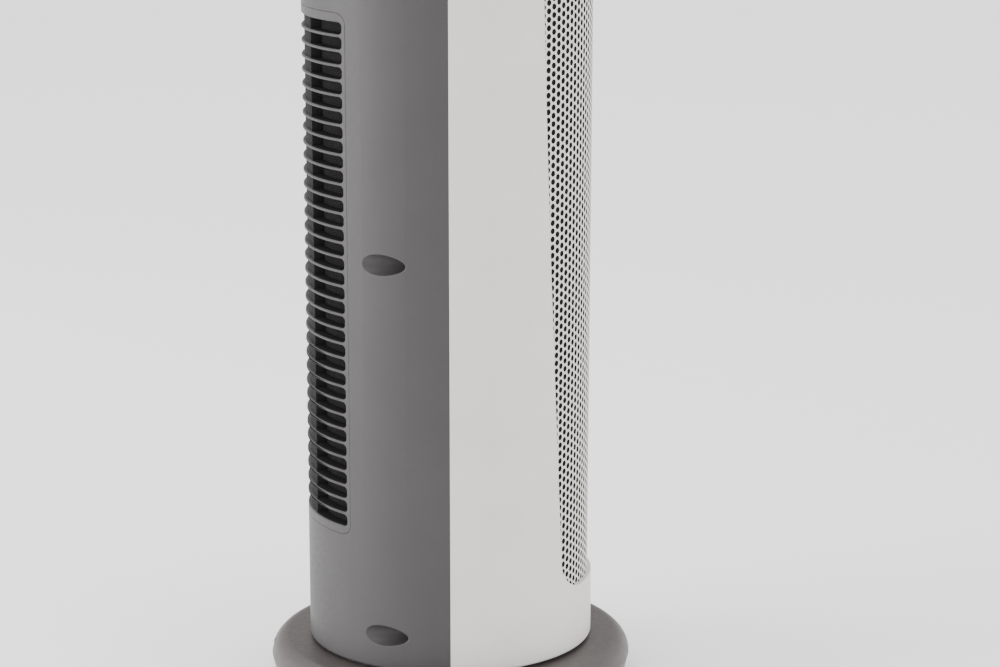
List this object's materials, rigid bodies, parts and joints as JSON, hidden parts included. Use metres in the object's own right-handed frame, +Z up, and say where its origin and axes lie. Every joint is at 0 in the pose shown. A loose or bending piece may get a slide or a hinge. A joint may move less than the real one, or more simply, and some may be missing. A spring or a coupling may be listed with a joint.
{
  "type": "tower fan",
  "caption": "Oscillating tower fan: a round tower with rear louvres, a curved perforated outlet screen and a cross-flow impeller, turning on a round base.",
  "frame": {"origin": "under the middle of the base on the supporting surface, on the axis the tower turns on", "axes": "+Z up, +X towards the front, where the air comes out, +Y to the fan's left"},
  "size_m": [0.1782, 0.1784, 0.45],
  "materials": {
    "base_plastic": "satin",
    "black_plastic": "matt",
    "foot_rubber": "matt",
    "screw_steel": "zinc plated",
    "slide_plastic": "smooth, low friction",
    "front_plastic": "satin",
    "rear_plastic": "satin",
    "screen_paint": "satin powder coat",
    "motor_steel": "plated sheet",
    "winding_copper": "varnished copper wire",
    "motor_cast": "cast",
    "bush_bronze": "sintered",
    "filter_mesh": "woven mesh",
    "wire_pvc": "smooth",
    "panel_gloss": "gloss",
    "lens_clear": "clear",
    "board_green": "solder resist",
    "impeller_plastic": "matt",
    "key_plastic": "satin"
  },
  "bodies": {
    "base": {"base_cover": "base_plastic", "base_plate": "black_plastic", "rubber_feet": "foot_rubber", "base_screws": "screw_steel", "cable_gland": "black_plastic", "glide_ring": "slide_plastic"},
    "tower": {"tower_floor": "black_plastic", "retaining_washer": "screw_steel", "pivot_screws": "screw_steel", "front_shell": "front_plastic", "rear_shell": "rear_plastic", "shell_screws": "screw_steel", "rear_grille": "rear_plastic", "inlet_filter": "filter_mesh", "front_screen": "screen_paint", "scroll_wall": "black_plastic", "vortex_wall": "black_plastic", "lower_bulkhead": "black_plastic", "upper_bulkhead": "black_plastic", "motor_stator": "motor_steel", "motor_windings": "winding_copper", "motor_upper_cap": "motor_cast", "motor_lower_cap": "motor_cast", "motor_screws": "screw_steel", "shaft_bushes": "bush_bronze", "upper_bush": "bush_bronze", "bush_seat": "foot_rubber", "swing_motor": "motor_steel", "swing_motor_screws": "screw_steel", "run_capacitor": "black_plastic", "wiring_harness": "wire_pvc", "carry_pocket": "rear_plastic", "top_cap": "front_plastic", "control_panel": "panel_gloss", "indicator_lenses": "lens_clear", "control_board": "board_green", "key_switches": "black_plastic", "board_screws": "screw_steel"},
    "crank": {"crank_arm": "slide_plastic", "crank_pin": "screw_steel"},
    "rotor": {"impeller": "impeller_plastic", "hub_screw": "screw_steel", "motor_rotor": "motor_steel", "motor_shaft": "screw_steel"},
    "power_key": {"power_key": "key_plastic"},
    "speed_key": {"speed_key": "key_plastic"},
    "swing_key": {"swing_key": "key_plastic"},
    "timer_key": {"timer_key": "key_plastic"}
  },
  "joints": [
    {"name": "tower_swing", "type": "hinge", "parent": "base", "child": "tower", "pos_m": [0, 0, 0.0228], "axis": [0, 0, 1], "range_deg": [-27, 27]},
    {"name": "crank_turn", "type": "hinge", "parent": "tower", "child": "crank", "pos_m": [-0.036, 0, 0.026], "axis": [0, 0, 1], "range_deg": [-77.5, 77.5]},
    {"name": "impeller_spin", "type": "hinge", "parent": "tower", "child": "rotor", "pos_m": [-0.008, 0, 0.09], "axis": [0, 0, 1], "continuous": true},
    {"name": "power_key_press", "type": "slide", "parent": "tower", "child": "power_key", "axis": [0, 0, -1], "range_m": [0, 0.0008], "stiffness_N_per_m": 900},
    {"name": "speed_key_press", "type": "slide", "parent": "tower", "child": "speed_key", "axis": [0, 0, -1], "range_m": [0, 0.0008], "stiffness_N_per_m": 900},
    {"name": "swing_key_press", "type": "slide", "parent": "tower", "child": "swing_key", "axis": [0, 0, -1], "range_m": [0, 0.0008], "stiffness_N_per_m": 900},
    {"name": "timer_key_press", "type": "slide", "parent": "tower", "child": "timer_key", "axis": [0, 0, -1], "range_m": [0, 0.0008], "stiffness_N_per_m": 900}
  ],
  "couplings": [
    {"joint": "crank_turn", "follows": "tower_swing", "ratio": -2.86}
  ]
}
